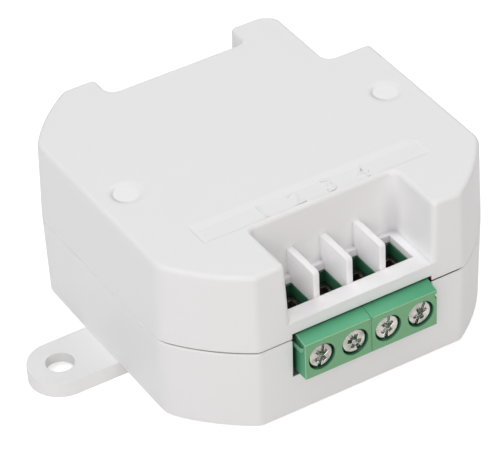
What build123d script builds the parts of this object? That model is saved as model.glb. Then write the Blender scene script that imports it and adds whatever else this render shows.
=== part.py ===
from build123d import *
import os
from math import hypot, sqrt

# Receiver module of a kinetic wireless switch: a relay in a flush-box casing with screw terminals.
# Millimetres. The origin is the centre of the wall box's circle on the mounting face, +Z runs
# from the mounting face to the lettered face, and the terminals look towards -Y.

# Casing outline
box_circle_radius = 29.5
body_width = 49.8
body_depth = 50.0
notch_width = 21.0
notch_depth = 4.1
step_x = 17.9
step_y = 10.9
arc_blend = 1.6
side_blend = 4.0
square_corner_radius = 1.0
tab_corner_radius = 2.0
inner_corner_radius = 1.3

# Casing walls
lower_height = 12.15
upper_height = 12.25
wall_draft = 1.4
wall = 1.8
floor_thickness = 1.8
roof_thickness = 1.8
roof_edge_radius = 0.65
seam_gap = 0.08
seam_front_gap = 0.28
seam_front_reach = 9.4
rim_bevel = 0.2
lip_height = 1.1
lip_thickness = 0.85
lip_clearance = 0.1

# Base step and mounting ear
base_height = 2.3
base_inset = 3.2
ear_reach = 31.1
ear_y = 1.2
ear_width = 9.0
ear_hole_diameter = 3.95
ear_plate = 1.5
ear_rim = 1.0

# Casing screws and their bosses
boss_wall_distance = 4.8
boss_y = -0.2
boss_diameter = 5.6
pad_radius = 3.6
screw_head_diameter = 4.6
screw_head_height = 1.9
screw_head_recess = 0.65
screw_shank_diameter = 2.6
screw_length = 16.0
screw_clearance = 0.15
boss_rib = 1.2
dimple_diameter = 5.2
dimple_disc_diameter = 3.5
dimple_depth = 0.18

# Circuit board and the pillars that hold it
board_top = 9.08
board_thickness = 1.6
board_clearance = 0.35
pillar_diameter = 2.6
front_pillar_x = 15.5
front_pillar_y = -17.5
back_pillar_distance = 6.4
pillar_notch_distance = 3.4
lead_diameter = 0.8
lead_tail = 1.9
lead_clearance = 0.15

# Terminal blocks, sizes along Y counted from their front face
pole_pitch = 5.08
poles_per_block = 2
block_count = 2
block_x = 0.05
block_overhang = 2.05
block_depth = 11.05
block_height = 6.97
shoulder_height = 6.17
face_height = 5.57
slope_length = 2.35
shoulder_length = 5.0
block_seam = 0.04
rail_height = 0.5
rail_width = 0.42
rail_z = 4.75
rail_setback = 0.3
rail_length = 9.0
rail_clearance = 0.08
screw_axis_height = 2.77
head_bore_diameter = 4.0
head_bore_depth = 2.4
web_thickness = 0.95
chamber_width = 4.1
chamber_length = 7.0
slide_clearance = 0.1

# Terminal screws, clamp cages and contacts
clamp_screw_diameter = 2.9
clamp_head_diameter = 3.7
clamp_head_height = 2.0
clamp_head_recess = 0.2
clamp_head_rounding = 0.4
clamp_slot_width = 0.55
clamp_slot_depth = 0.55
clamp_cross_width = 0.65
clamp_cross_length = 2.2
clamp_cross_depth = 1.1
clamp_cross_taper = 14
clamp_head_turns = (12, -28, 8, 24)
thread_pitch = 0.5
clamp_turns = 4
thread_clearance = 0.05
cage_width = 3.9
cage_length = 4.8
cage_height = 4.4
cage_side = 0.45
cage_front = 1.2
cage_back = 0.7
cage_corner_radius = 0.4
contact_width = 2.4
contact_thickness = 0.7
contact_height = 4.7
contact_gap = 0.05
pin_width = 1.0

# Wiring recess over the terminals
recess_width = 21.7
recess_x = 0.1
recess_depth = 9.1
recess_draft = 2.0
recess_corner_radius = 0.8
recess_upright_radius = 0.8
recess_wall = 1.5
plate_thickness = 1.1
plate_clearance = 0.15
bar_depth = 2.75
bar_clearance = 0.25
window_length = 5.55
fin_thickness = 0.95
fin_front_thickness = 0.5
fin_height = 3.9
fin_setback = 0.1
fin_corner_radius = 0.6
port_side_gap = 0.55
port_bottom_gap = 0.65

# Label pocket on the roof, along the back edge of the recess
label_width = 34.6
label_x = 0.1
label_length = 4.1
label_offset = 0.9
label_depth = 0.14
label_slope = 1.3
label_end_slope = 0.4
label_corner_radius = 1.4

# Relay, heights counted from the board's top
relay_x = 6.3
relay_y = -0.5
relay_width = 10.2
relay_length = 20.4
relay_height = 15.2
relay_lift = 0.3
relay_wall = 0.6
relay_base_height = 1.6
relay_base_clearance = 0.1
yoke_width = 7.2
yoke_back = 8.4
yoke_front = 0.2
yoke_thickness = 1.0
yoke_z = 2.0
yoke_height = 10.6
core_y = -3.2
core_diameter = 2.9
core_top = 12.2
pole_diameter = 5.0
pole_thickness = 0.7
bobbin_flange = 7.2
bobbin_flange_thickness = 0.6
bobbin_wall = 0.35
winding_diameter = 6.6
coil_clearance = 0.05
armature_width = 6.6
armature_front = 0.6
armature_thickness = 0.8
hinge_clearance = 0.05
reed_width = 3.0
reed_thickness = 0.2
reed_back = 2.0
reed_front = 8.4
contact_button_diameter = 2.0
contact_button_y = 7.4
moving_button_height = 0.45
contact_travel = 0.73
fixed_button_height = 0.35
strip_thickness = 0.3
strip_width = 2.4
strip_back = 9.0
side_strip_x = 3.4
coil_pin_x = 3.4
coil_pin_y = -8.9

# Supply parts on the board
film_x, film_y = -4.5, -3.0
film_width = 6.0
film_length = 13.0
film_height = 11.5
film_lead_spacing = 10.0
film_edge_radius = 0.4
reservoir_x, reservoir_y = -12.6, -6.5
reservoir_diameter = 8.0
reservoir_height = 12.0
reservoir_lead_spacing = 3.5
filter_x = -4.5
filter_radio_gap = 1.8
filter_diameter = 6.0
filter_height = 7.5
filter_lead_spacing = 2.5
can_groove_height = 1.3
can_groove_depth = 0.3
varistor_x = -18.8
varistor_front_distance = 15.4
varistor_diameter = 9.0
varistor_thickness = 3.4
varistor_lift = 1.5
varistor_lead_spacing = 5.0
fuse_x = 16.2
fuse_front_distance = 15.5
fuse_diameter = 3.2
fuse_waist_diameter = 2.6
fuse_length = 9.0
fuse_lead_spacing = 12.6
rectifier_x, rectifier_y = -12.3, 5.0
rectifier_width = 8.4
rectifier_length = 6.4
rectifier_height = 3.3
rectifier_pin_spacing = 5.1
rectifier_pin_width = 1.0
rectifier_pin_thickness = 0.3
rectifier_lift = 0.5
rectifier_pin_height = 1.6
rectifier_shoulder = 0.6

# Radio parts
radio_wall_gap = 1.0
radio_width = 18.0
radio_thickness = 0.8
radio_height = 11.5
radio_lift = 2.5
header_pin_count = 5
header_pitch = 2.54
header_width = 2.4
header_hole_height = 1.5
radio_chip_width = 5.0
radio_chip_height = 4.0
radio_chip_thickness = 1.2
crystal_width = 10.8
crystal_height = 4.4
crystal_depth = 3.4
antenna_x = -14.0
antenna_back_distance = 10.8
antenna_diameter = 5.0
antenna_wire = 0.7
antenna_pitch = 1.8
antenna_turns = 6
antenna_lift = 1.2

# Parts on the board's underside
controller_x, controller_y = -6.0, -12.6
controller_length = 8.7
controller_width = 3.9
controller_height = 1.5
controller_span = 6.0
controller_pin_count = 14
controller_pin_pitch = 1.27
chip_pin_width = 0.45
chip_pin_thickness = 0.25
driver_x, driver_y = 5.0, -13.5
driver_spacing = 4.5
transistor_length = 2.9
transistor_width = 1.3
transistor_height = 1.0
diode_length = 2.7
diode_width = 1.6
diode_height = 1.1
driver_edge_bevel = 0.15
resistor_count = 6
resistor_spacing = 2.4
resistor_wall_gap = 0.6
resistor_length = 2.0
resistor_width = 1.25
resistor_height = 0.55

# Pairing button and its switch
button_x, button_y = 15.5, -8.5
button_diameter = 3.4
button_bore_clearance = 0.1
button_recess = 0.3
button_flange_diameter = 5.2
button_flange_height = 0.8
button_travel = 0.3
tact_size = 6.0
tact_height = 3.5
tact_stem_diameter = 3.2
tact_stem_bore = 3.5
tact_stem_depth = 0.6
tact_pin_x = 3.25
tact_pin_y = 2.25

# Levels and places worked out from the sizes above
split_z = base_height + lower_height
roof_z = split_z + upper_height
arc_start_x = sqrt(box_circle_radius**2 - (body_depth / 2) ** 2)
floor_top = base_height + floor_thickness
base_floor_top = floor_thickness
ceiling_z = roof_z - roof_thickness
board_bottom = board_top - board_thickness
case_front = -body_depth / 2
case_back = body_depth / 2
boss_x = body_width / 2 - boss_wall_distance
back_inner_wall = case_back - notch_depth - wall
radio_y = back_inner_wall - radio_wall_gap - crystal_depth - radio_thickness / 2
filter_y = radio_y - header_width / 2 - filter_radio_gap - filter_diameter / 2
fuse_y = case_front + fuse_front_distance
varistor_y = case_front + varistor_front_distance
resistor_y = back_inner_wall - resistor_wall_gap - resistor_length / 2
antenna_y = case_back - antenna_back_distance
block_front = case_front - block_overhang
block_width = poles_per_block * pole_pitch
terminals_width = block_count * block_width
plate_bottom = board_top + block_height + plate_clearance
plate_top = plate_bottom + plate_thickness
bar_bottom = board_top + shoulder_height + bar_clearance
chamber_front = head_bore_depth + web_thickness
chamber_back = chamber_front + chamber_length
cage_bottom = screw_axis_height - cage_height / 2
cage_rest_back = chamber_back - slide_clearance
clamp_travel = thread_pitch * clamp_turns
contact_back = cage_rest_back - cage_back - clamp_travel - contact_gap
contact_front = contact_back - contact_thickness
pole_xs = [
    block_x + (i - (block_count * poles_per_block - 1) / 2) * pole_pitch
    for i in range(block_count * poles_per_block)
]
pillars = [
    (-front_pillar_x, front_pillar_y),
    (front_pillar_x, front_pillar_y),
    (-notch_width / 2 - pillar_notch_distance, case_back - back_pillar_distance),
    ((notch_width / 2 + step_x) / 2, case_back - back_pillar_distance),
]
bosses = [(-boss_x, boss_y), (boss_x, boss_y)]

UP = Align.CENTER, Align.CENTER, Align.MIN
DOWN = Align.CENTER, Align.CENTER, Align.MAX


def block_between(x, y, z):
    """A box given by its lower and upper limit on each axis."""
    size = [high - low for low, high in (x, y, z)]
    centre = [(high + low) / 2 for low, high in (x, y, z)]
    return Pos(*centre) * Box(*size)


def rod_up(diameter, low, high):
    """An upright cylinder between two heights."""
    return Pos(0, 0, low) * Cylinder(diameter / 2, high - low, align=UP)


def rod_back(diameter, front, back):
    """A cylinder along Y between two places counted from the front."""
    return Pos(0, front, 0) * Rot(-90, 0, 0) * Cylinder(diameter / 2, back - front, align=UP)


def nearest(face, x, y):
    return face.vertices().sort_by_distance((x, y, 0))[0]


def round_corners(face, points, radius):
    return fillet([nearest(face, x, y) for x, y in points], radius)


# Casing outline at the split line, moved inwards by an inset
def plan(inset=0.0):
    face = Rectangle(body_width, body_depth) & Circle(box_circle_radius)
    face -= Pos(0, case_back) * Rectangle(notch_width, 2 * notch_depth)
    cut_corner = Rectangle(body_width, body_depth, align=(Align.MIN, Align.MIN))
    face -= Pos(step_x, step_y) * cut_corner
    corners = {}
    for vertex in face.vertices():
        place = (vertex.X, vertex.Y)
        corners.setdefault(corner_radius(*place), []).append(place)
    for radius, places in corners.items():
        face = round_corners(face, places, radius)
    return offset(face, -inset) if inset else face


def corner_radius(x, y):
    near = 0.01
    on_circle = abs(hypot(x, y) - box_circle_radius) < near
    beside_notch = abs(abs(x) - notch_width / 2) < near
    in_notch = beside_notch and abs(y - case_back + notch_depth) < near
    on_step = abs(x - step_x) < near, abs(y - step_y) < near
    if in_notch or all(on_step):
        return inner_corner_radius
    if on_circle and on_step[0]:
        return tab_corner_radius
    if on_circle and abs(abs(x) - body_width / 2) < near:
        return side_blend
    if on_circle and not (beside_notch or on_step[1]):
        return arc_blend
    return square_corner_radius


# A drafted body that stands on the split line or hangs below it
def drafted(face, z, height, upwards):
    return extrude(Pos(0, 0, z) * face, height, dir=(0, 0, 1 if upwards else -1), taper=wall_draft)


def lip_ring(outer_inset, inner_inset, low, high):
    ring = plan(outer_inset) - plan(inner_inset)
    ring = extrude(Pos(0, 0, low) * ring, high - low)
    return ring - terminal_port(low - 1, high + 1)


# The opening in both casings that the terminal blocks look out of
def terminal_port(low, high):
    half = terminals_width / 2 + port_side_gap
    depth = (case_front - wall, case_front + 2 * wall)
    return block_between((block_x - half, block_x + half), depth, (low, high))


def ear_outline():
    arm = Pos(-ear_reach / 2, ear_y) * Rectangle(ear_reach, ear_width)
    return arm + Pos(-ear_reach, ear_y) * Circle(ear_width / 2)


def bottom_shell():
    shell = drafted(plan(), split_z, lower_height, False)
    shell = chamfer(shell.faces().sort_by(Axis.Z)[-1].edges(), rim_bevel)
    cavity = drafted(plan(wall), split_z, lower_height - floor_thickness, False)
    base_face = plan(base_inset)
    for x, y in bosses:
        base_face += Pos(x, y) * Circle(pad_radius)
    base_face += ear_outline()
    shell = (shell - cavity) + extrude(base_face, base_height)
    pocket = plan(base_inset + wall)
    for x, y in bosses:
        pocket -= Pos(x, y) * Circle(pad_radius)
    for x, y in pillars:
        pocket -= Pos(x, y) * Circle(pillar_diameter / 2)
    shell -= extrude(Pos(0, 0, base_floor_top) * pocket, floor_top - base_floor_top + 1)
    shell += lip_ring(wall - lip_thickness, wall, split_z, split_z + lip_height)
    for x, y in pillars:
        low = floor_top - floor_thickness / 2
        shell += Pos(x, y) * rod_up(pillar_diameter, low, board_bottom)
    for x, y in bosses:
        post = rod_up(boss_diameter, floor_top - floor_thickness / 2, split_z - screw_clearance)
        shell += Pos(x, y) * post
        shell -= Pos(x, y) * case_screw_space()
    shell -= terminal_port(board_top - port_bottom_gap, split_z + lip_height)
    hollow = offset(ear_outline(), -ear_rim) & Pos(-body_width, ear_y) * Rectangle(
        2 * (body_width / 2 + ear_rim), ear_width
    )
    shell -= extrude(Pos(0, 0, -1) * hollow, base_height - ear_plate + 1)
    shell -= Pos(-ear_reach, ear_y) * rod_up(ear_hole_diameter, -1, base_height + 1)
    bore = button_diameter + 2 * button_bore_clearance
    return shell - Pos(button_x, button_y) * rod_up(bore, -1, floor_top)


def case_screw_space():
    head_seat = screw_head_recess + screw_head_height
    head = rod_up(screw_head_diameter + 2 * screw_clearance, -1, head_seat)
    return head + rod_up(screw_shank_diameter + 2 * screw_clearance, head_seat, split_z)


def case_screw():
    head_seat = screw_head_recess + screw_head_height
    head = rod_up(screw_head_diameter, screw_head_recess, head_seat)
    head = fillet(head.edges().group_by(Axis.Z)[0], screw_head_height * 0.4)
    slot = block_between((-0.35, 0.35), (-1.4, 1.4), (0, screw_head_recess + 1.0))
    shank = rod_up(screw_shank_diameter, head_seat, head_seat + screw_length)
    shank = chamfer(shank.edges().group_by(Axis.Z)[-1], screw_shank_diameter * 0.3)
    return head - slot - Rot(0, 0, 90) * slot + shank


# Space of the wiring recess: it widens upwards and is open at the front
def recess_space(side=0.0, low=None, high=None):
    width = recess_width + 2 * side
    depth = recess_depth + side
    front = 3 * wall
    face = Pos(recess_x, case_front + depth - (depth + front) / 2) * Rectangle(width, depth + front)
    back = [(recess_x + s * width / 2, case_front + depth) for s in (-1, 1)]
    face = round_corners(face, back, recess_corner_radius)
    return extrude(Pos(0, 0, low) * face, high - low, taper=-recess_draft)


def wire_windows():
    front = case_front + bar_depth
    windows = []
    for i in range(len(pole_xs)):
        x = (i - (len(pole_xs) - 1) / 2) * pole_pitch
        half = (pole_pitch - fin_thickness) / 2
        span = (front, front + window_length)
        windows.append(block_between((x - half, x + half), span, (split_z, plate_top + 1)))
    return windows


def fins():
    front = case_front + bar_depth + fin_setback
    back = case_front + recess_depth + recess_wall / 2
    made = []
    for i in range(len(pole_xs) - 1):
        x = (i - (len(pole_xs) - 2) / 2) * pole_pitch
        low = plate_bottom + plate_thickness / 2
        outline = Polyline(
            (x - fin_front_thickness / 2, front),
            (x + fin_front_thickness / 2, front),
            (x + fin_thickness / 2, back),
            (x - fin_thickness / 2, back),
            close=True,
        )
        fin = extrude(Pos(0, 0, low) * make_face(outline), plate_top + fin_height - low)
        edge = fin.edges().filter_by(Axis.X).group_by(Axis.Z)[-1].sort_by(Axis.Y)[0]
        made.append(fillet(edge, fin_corner_radius))
    return made


# The upper casing's outside with the wiring recess cut in and every edge of the roof rounded
def upper_block():
    block = drafted(plan(), split_z, upper_height, True)
    block -= recess_space(0, plate_top, roof_z + 1)
    sides = [recess_x + s * recess_width / 2 for s in (-1, 1)]
    uprights = []
    for edge in block.edges():
        middle = edge @ 0.5
        at_front = abs(middle.Y - case_front) < wall / 2
        beside = min(abs(middle.X - x) for x in sides) < wall / 2
        if at_front and beside and abs((edge % 0.5).Z) > 0.9 and middle.Z > plate_top:
            uprights.append(edge)
    block = fillet(uprights, recess_upright_radius)
    return fillet(block.faces().sort_by(Axis.Z)[-1].edges(), roof_edge_radius)


def top_shell():
    outer = upper_block()
    cavity = drafted(plan(wall), split_z, upper_height - roof_thickness, True)
    recess_box = recess_space(recess_wall, plate_bottom, roof_z) & outer
    shell = (outer - cavity) + recess_box
    bar_half = recess_width / 2 + recess_wall
    bar_space = (recess_x - bar_half, recess_x + bar_half)
    bar = block_between(bar_space, (case_front, case_front + bar_depth), (bar_bottom, plate_top))
    shell += bar & outer
    for x, y in bosses:
        shell += Pos(x, y) * rod_up(boss_diameter, split_z, ceiling_z + roof_thickness / 2)
        reach = (x, x + (body_width / 2 - wall / 2 - boss_x)) if x > 0 else None
        reach = reach or (x - (body_width / 2 - wall / 2 - boss_x), x)
        low = split_z + lip_height + lip_clearance
        shell += block_between(reach, (y - boss_rib / 2, y + boss_rib / 2), (low, ceiling_z + 0.5))
    for x, y in pillars:
        shell += Pos(x, y) * rod_up(pillar_diameter, board_top + 0.05, ceiling_z + 0.5)
    for window in wire_windows():
        shell -= window
    for fin in fins():
        shell += fin
    shell -= lip_ring(wall - lip_thickness - lip_clearance, wall, split_z, split_z + lip_height)
    shell -= seam_trim()
    shell -= terminal_port(split_z - 1, bar_bottom)
    for x, y in bosses:
        pilot = screw_shank_diameter + 0.04
        tip = screw_head_recess + screw_head_height + screw_length
        shell -= Pos(x, y) * rod_up(pilot, split_z - 1, tip + 0.5)
        shell -= Pos(x, y, roof_z - dimple_depth) * dimple()
    return shell - label_pocket()


# A shallow dish: its sloped rim goes on above the roof so that the cut is clean
def dimple():
    bottom = dimple_disc_diameter / 2
    top = bottom + (dimple_diameter - dimple_disc_diameter)
    return Cone(bottom, top, 2 * dimple_depth, align=UP)


# The outer wall stops a seam's width above the lower casing, and the seam gapes at the front
def seam_trim():
    ring = plan(-1) - plan(wall - lip_thickness)
    right = arc_start_x + body_width
    front = Pos(arc_start_x - right / 2, case_front) * Rectangle(right, 2 * seam_front_reach)
    trim = extrude(Pos(0, 0, split_z) * ring, seam_gap)
    return trim + extrude(Pos(0, 0, split_z) * (ring & front), seam_front_gap)


# The pocket's floor rises gently to the roof along its back edge and at its right end
def label_pocket():
    front = case_front + recess_depth + label_offset
    back = front + label_length
    right = label_x + label_width / 2
    low, high = roof_z - label_depth, roof_z + label_depth
    section = Polyline(
        (front, low),
        (back - label_slope, low),
        (back + label_slope, high),
        (front, high),
        close=True,
    )
    side = Plane(origin=(0, 0, 0), x_dir=(0, 1, 0), z_dir=(1, 0, 0)) * make_face(section)
    pocket = Pos(right - label_width, 0, 0) * extrude(side, label_width)
    length = Polyline(
        (right - label_width, low),
        (right - label_end_slope, low),
        (right + label_end_slope, high),
        (right - label_width, high),
        close=True,
    )
    along = Plane(origin=(0, front, 0), x_dir=(1, 0, 0), z_dir=(0, -1, 0)) * make_face(length)
    pocket &= extrude(along, -label_length, both=False)
    face = Pos(label_x, front + label_length / 2) * Rectangle(label_width, label_length)
    face = round_corners(face, [(right, back)], label_corner_radius)
    return pocket & extrude(Pos(0, 0, low) * face, high - low)


# Green housing of one two-pole terminal block, seen from the side and drawn along X
def terminal_housing(block_centre):
    section = Polyline(
        (0, 0),
        (0, face_height),
        (slope_length, shoulder_height),
        (shoulder_length, shoulder_height),
        (shoulder_length, block_height),
        (block_depth, block_height),
        (block_depth, 0),
        close=True,
    )
    side = Plane(origin=(0, 0, 0), x_dir=(0, 1, 0), z_dir=(1, 0, 0)) * make_face(section)
    width = block_width - block_seam
    housing = Pos(-width / 2, 0, 0) * extrude(side, width)
    housing += Pos(-width / 2, rail_setback, 0) * dovetail(0)
    housing -= Pos(width / 2 + block_seam, 0, 0) * dovetail(rail_clearance)
    for i in range(poles_per_block):
        x = (i - (poles_per_block - 1) / 2) * pole_pitch
        housing -= Pos(x, 0, 0) * pole_space()
    return Pos(block_centre, block_front, board_top) * housing


# Rail along the left end that slides into the next block's groove
def dovetail(clearance):
    root = rail_height / 2 + clearance
    tip = rail_height * 0.6 + clearance
    depth = rail_width + clearance
    outline = Polyline((0, -root), (-depth, -tip), (-depth, tip), (0, root), close=True)
    length = rail_length + clearance if clearance else rail_length - rail_setback
    rail = extrude(Plane.XZ * make_face(outline), -length)
    front_edge = rail.edges().filter_by(Axis.Z).group_by(Axis.Y)[0].sort_by(Axis.X)[0]
    rail = chamfer(front_edge, rail_width * 0.5)
    return Pos(0, 0, rail_z) * rail


# What is hollow around one pole: screw bore, clamp chamber, wire entry and pin slot
def pole_space():
    half = chamber_width / 2
    low = cage_bottom - slide_clearance
    high = cage_bottom + cage_height + 1.5 * slide_clearance
    axis_up = Pos(0, 0, screw_axis_height)
    space = axis_up * rod_back(head_bore_diameter, -1, head_bore_depth)
    shank_bore = clamp_screw_diameter + 3 * slide_clearance
    space += axis_up * rod_back(shank_bore, head_bore_depth, chamber_front + 0.5)
    space += block_between((-half, half), (chamber_front, chamber_back), (low, high))
    entry = (shoulder_length, chamber_back)
    space += block_between((-half, half), entry, (high - 0.5, block_height + 1))
    slot_half = pin_width / 2 + slide_clearance
    slot = (contact_front - slide_clearance, contact_back + slide_clearance)
    return space + block_between((-slot_half, slot_half), slot, (-1, low + 0.5))


def clamp_cage(x):
    outer = block_between(
        (-cage_width / 2, cage_width / 2),
        (cage_rest_back - cage_length, cage_rest_back),
        (cage_bottom, cage_bottom + cage_height),
    )
    outer = fillet(outer.edges().filter_by(Axis.Z), cage_corner_radius)
    inner = block_between(
        (-cage_width / 2 + cage_side, cage_width / 2 - cage_side),
        (cage_rest_back - cage_length + cage_front, cage_rest_back - cage_back),
        (cage_bottom - 1, cage_bottom + cage_height + 1),
    )
    thread = clamp_screw_diameter + 2 * thread_clearance
    front = cage_rest_back - cage_length
    hole = Pos(0, 0, screw_axis_height) * rod_back(thread, front - 1, front + cage_front + 0.5)
    return Pos(x, block_front, board_top) * (outer - inner - hole)


def contact_bar(x):
    low = cage_bottom
    bar = block_between(
        (-contact_width / 2, contact_width / 2),
        (contact_front, contact_back),
        (low, low + contact_height - slide_clearance * 4),
    )
    pin = block_between(
        (-pin_width / 2, pin_width / 2),
        (contact_front, contact_back),
        (-board_thickness - lead_tail, low),
    )
    return Pos(x, block_front, board_top) * (bar + pin)


# Head with a rounded rim and a combined recess: a tapered cross and a slot right across
def terminal_screw(x, turn):
    head_end = clamp_head_recess + clamp_head_height
    head = rod_back(clamp_head_diameter, clamp_head_recess, head_end)
    head = fillet(head.edges().group_by(Axis.Y)[0], clamp_head_rounding)
    bar = Rectangle(clamp_cross_width, clamp_cross_length)
    cross = Rot(0, 0, 45) * (bar + Rot(0, 0, 90) * bar)
    face = Plane(origin=(0, clamp_head_recess, 0), x_dir=(1, 0, 0), z_dir=(0, 1, 0))
    head -= extrude(face * cross, clamp_cross_depth, taper=clamp_cross_taper)
    half = clamp_slot_width / 2
    slot_end = clamp_head_recess + clamp_slot_depth
    head -= block_between(
        (-half, half), (-1, slot_end), (-clamp_head_diameter, clamp_head_diameter)
    )
    shank = rod_back(clamp_screw_diameter, head_end, contact_front - slide_clearance)
    screw = Rot(0, turn, 0) * (head + shank)
    return Pos(x, block_front, board_top + screw_axis_height) * screw


# Places where leads pass the board, and how thick they are there
def lead_places():
    round_leads = []
    for dy in (-1, 1):
        round_leads.append((film_x, film_y + dy * film_lead_spacing / 2))
        round_leads.append((reservoir_x, reservoir_y + dy * reservoir_lead_spacing / 2))
        round_leads.append((varistor_x, varistor_y + dy * varistor_lead_spacing / 2))
        round_leads.append((fuse_x, fuse_y + dy * fuse_lead_spacing / 2))
        round_leads.append((filter_x + dy * filter_lead_spacing / 2, filter_y))
        for dx in (-1, 1):
            x = rectifier_x + dx * rectifier_pin_spacing / 2
            round_leads.append((x, rectifier_y + dy * rectifier_length / 2))
            round_leads.append((button_x + dx * tact_pin_x, button_y + dy * tact_pin_y))
    round_leads += [(relay_x + dx * coil_pin_x, relay_y + coil_pin_y) for dx in (-1, 1)]
    round_leads += [(x, radio_y) for x in header_xs()]
    round_leads.append((antenna_x + antenna_diameter / 2, antenna_y))
    return round_leads


def header_xs():
    return [(i - (header_pin_count - 1) / 2) * header_pitch for i in range(header_pin_count)]


def strip_slots(clearance):
    half = pin_width / 2 + clearance
    thick = strip_thickness + clearance
    top = strip_slot_box((-half, half), (strip_back, strip_back + strip_thickness), clearance)
    side = strip_slot_box(
        (side_strip_x, side_strip_x + strip_thickness),
        (contact_button_y - half, contact_button_y + half),
        clearance,
    )
    yoke_span = (-yoke_back, -yoke_back + yoke_thickness)
    common = strip_slot_box((-half, half), yoke_span, clearance)
    return [top, side, common] if thick else []


def strip_slot_box(x, y, clearance):
    return (x[0] - clearance, x[1] + clearance), (y[0] - clearance, y[1] + clearance)


def circuit_board():
    board = extrude(Pos(0, 0, board_bottom) * plan(wall + board_clearance), board_thickness)
    hole = boss_diameter + 2 * board_clearance
    for x, y in bosses:
        board -= Pos(x, y) * rod_up(hole, board_bottom - 1, board_top + 1)
        outward = (x, x + wall * 3) if x > 0 else (x - wall * 3, x)
        board -= block_between(outward, (y - hole / 2, y + hole / 2), (board_bottom - 1, board_top + 1))
    for x, y in lead_places():
        drill = rod_up(lead_diameter + 2 * lead_clearance, board_bottom - 1, board_top + 1)
        board -= Pos(x, y) * drill
    through = (board_bottom - 1, board_top + 1)
    for x in pole_xs:
        half = pin_width / 2 + lead_clearance
        y = (
            block_front + contact_front - lead_clearance,
            block_front + contact_back + lead_clearance,
        )
        board -= block_between((x - half, x + half), y, through)
    for x, y in strip_slots(lead_clearance):
        board -= Pos(relay_x, relay_y, 0) * block_between(x, y, through)
    return board


def lead(low=None, high=0.5):
    low = -board_thickness - lead_tail if low is None else low
    return rod_up(lead_diameter, low, high)


def on_board(x, y, part):
    return Pos(x, y, board_top) * part


def relay_cover():
    top = relay_lift + relay_height
    outer = block_between(
        (-relay_width / 2, relay_width / 2),
        (-relay_length / 2, relay_length / 2),
        (relay_lift, top),
    )
    outer = fillet(outer.edges().filter_by(Axis.Z), relay_wall)
    outer = fillet(outer.faces().sort_by(Axis.Z)[-1].edges(), relay_wall * 0.5)
    inner = block_between(
        (-relay_width / 2 + relay_wall, relay_width / 2 - relay_wall),
        (-relay_length / 2 + relay_wall, relay_length / 2 - relay_wall),
        (relay_lift - 1, top - relay_wall),
    )
    return on_board(relay_x, relay_y, outer - inner)


def relay_base():
    half_x = relay_width / 2 - relay_wall - relay_base_clearance
    half_y = relay_length / 2 - relay_wall - relay_base_clearance
    span = (relay_lift, relay_lift + relay_base_height)
    base = block_between((-half_x, half_x), (-half_y, half_y), span)
    for x, y in strip_slots(coil_clearance):
        base -= block_between(x, y, (relay_lift - 1, span[1] + 1))
    for side in (-1, 1):
        hole = rod_up(lead_diameter + 2 * coil_clearance, relay_lift - 1, span[1] + 1)
        base -= Pos(side * coil_pin_x, coil_pin_y) * hole
    return on_board(relay_x, relay_y, base)


def relay_coil_pins():
    top = relay_lift + relay_base_height + 1.2
    pins = [Pos(side * coil_pin_x, coil_pin_y) * lead(high=top) for side in (-1, 1)]
    return on_board(relay_x, relay_y, Compound([pin.solid() for pin in pins]))


# Soft-iron circuit of the relay: foot, upright, core with its pole face, and the common pin
def relay_yoke():
    half = yoke_width / 2
    upright = (-yoke_back, -yoke_back + yoke_thickness)
    yoke = block_between((-half, half), (-yoke_back, yoke_front), (yoke_z, yoke_z + yoke_thickness))
    yoke += block_between((-half, half), upright, (yoke_z, yoke_z + yoke_height))
    yoke += Pos(0, core_y) * rod_up(core_diameter, yoke_z, core_top)
    yoke += Pos(0, core_y) * rod_up(pole_diameter, core_top - pole_thickness, core_top)
    pin_half = pin_width / 2
    pin = block_between((-pin_half, pin_half), upright, (-board_thickness - lead_tail, yoke_z))
    return on_board(relay_x, relay_y, yoke + pin)


def bobbin_heights():
    low = yoke_z + yoke_thickness + coil_clearance
    high = core_top - pole_thickness - coil_clearance
    return low, high


def relay_bobbin():
    low, high = bobbin_heights()
    flange = Box(bobbin_flange, bobbin_flange, bobbin_flange_thickness, align=UP)
    flange = fillet(flange.edges().filter_by(Axis.Z), 0.8)
    bobbin = Pos(0, 0, low) * flange + Pos(0, 0, high - bobbin_flange_thickness) * flange
    bore = core_diameter + 2 * coil_clearance
    bobbin += rod_up(bore + 2 * bobbin_wall, low, high)
    bobbin -= rod_up(bore, low - 1, high + 1)
    return on_board(relay_x, relay_y + core_y, bobbin)


def relay_winding():
    low, high = bobbin_heights()
    low += bobbin_flange_thickness + coil_clearance
    high -= bobbin_flange_thickness + coil_clearance
    bore = core_diameter + 4 * coil_clearance + 2 * bobbin_wall
    winding = rod_up(winding_diameter, low, high) - rod_up(bore, low - 1, high + 1)
    return on_board(relay_x, relay_y + core_y, winding)


def armature_bottom():
    return yoke_z + yoke_height + hinge_clearance


def relay_armature():
    half = armature_width / 2
    low = armature_bottom()
    plate = block_between((-half, half), (-yoke_back, armature_front), (low, low + armature_thickness))
    plate = chamfer(plate.edges().filter_by(Axis.Z), 0.5)
    return on_board(relay_x, relay_y, plate)


# Contact reed on the armature, with a contact button on both of its faces
def relay_reed():
    half = reed_width / 2
    low = armature_bottom() + armature_thickness
    reed = block_between((-half, half), (-reed_back, reed_front), (low, low + reed_thickness))
    reed = fillet(reed.edges().filter_by(Axis.Z), 0.6)
    bottom = low - moving_button_height
    top = low + reed_thickness + moving_button_height
    reed += Pos(0, contact_button_y) * rod_up(contact_button_diameter, bottom, top)
    return on_board(relay_x, relay_y, reed)


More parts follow.
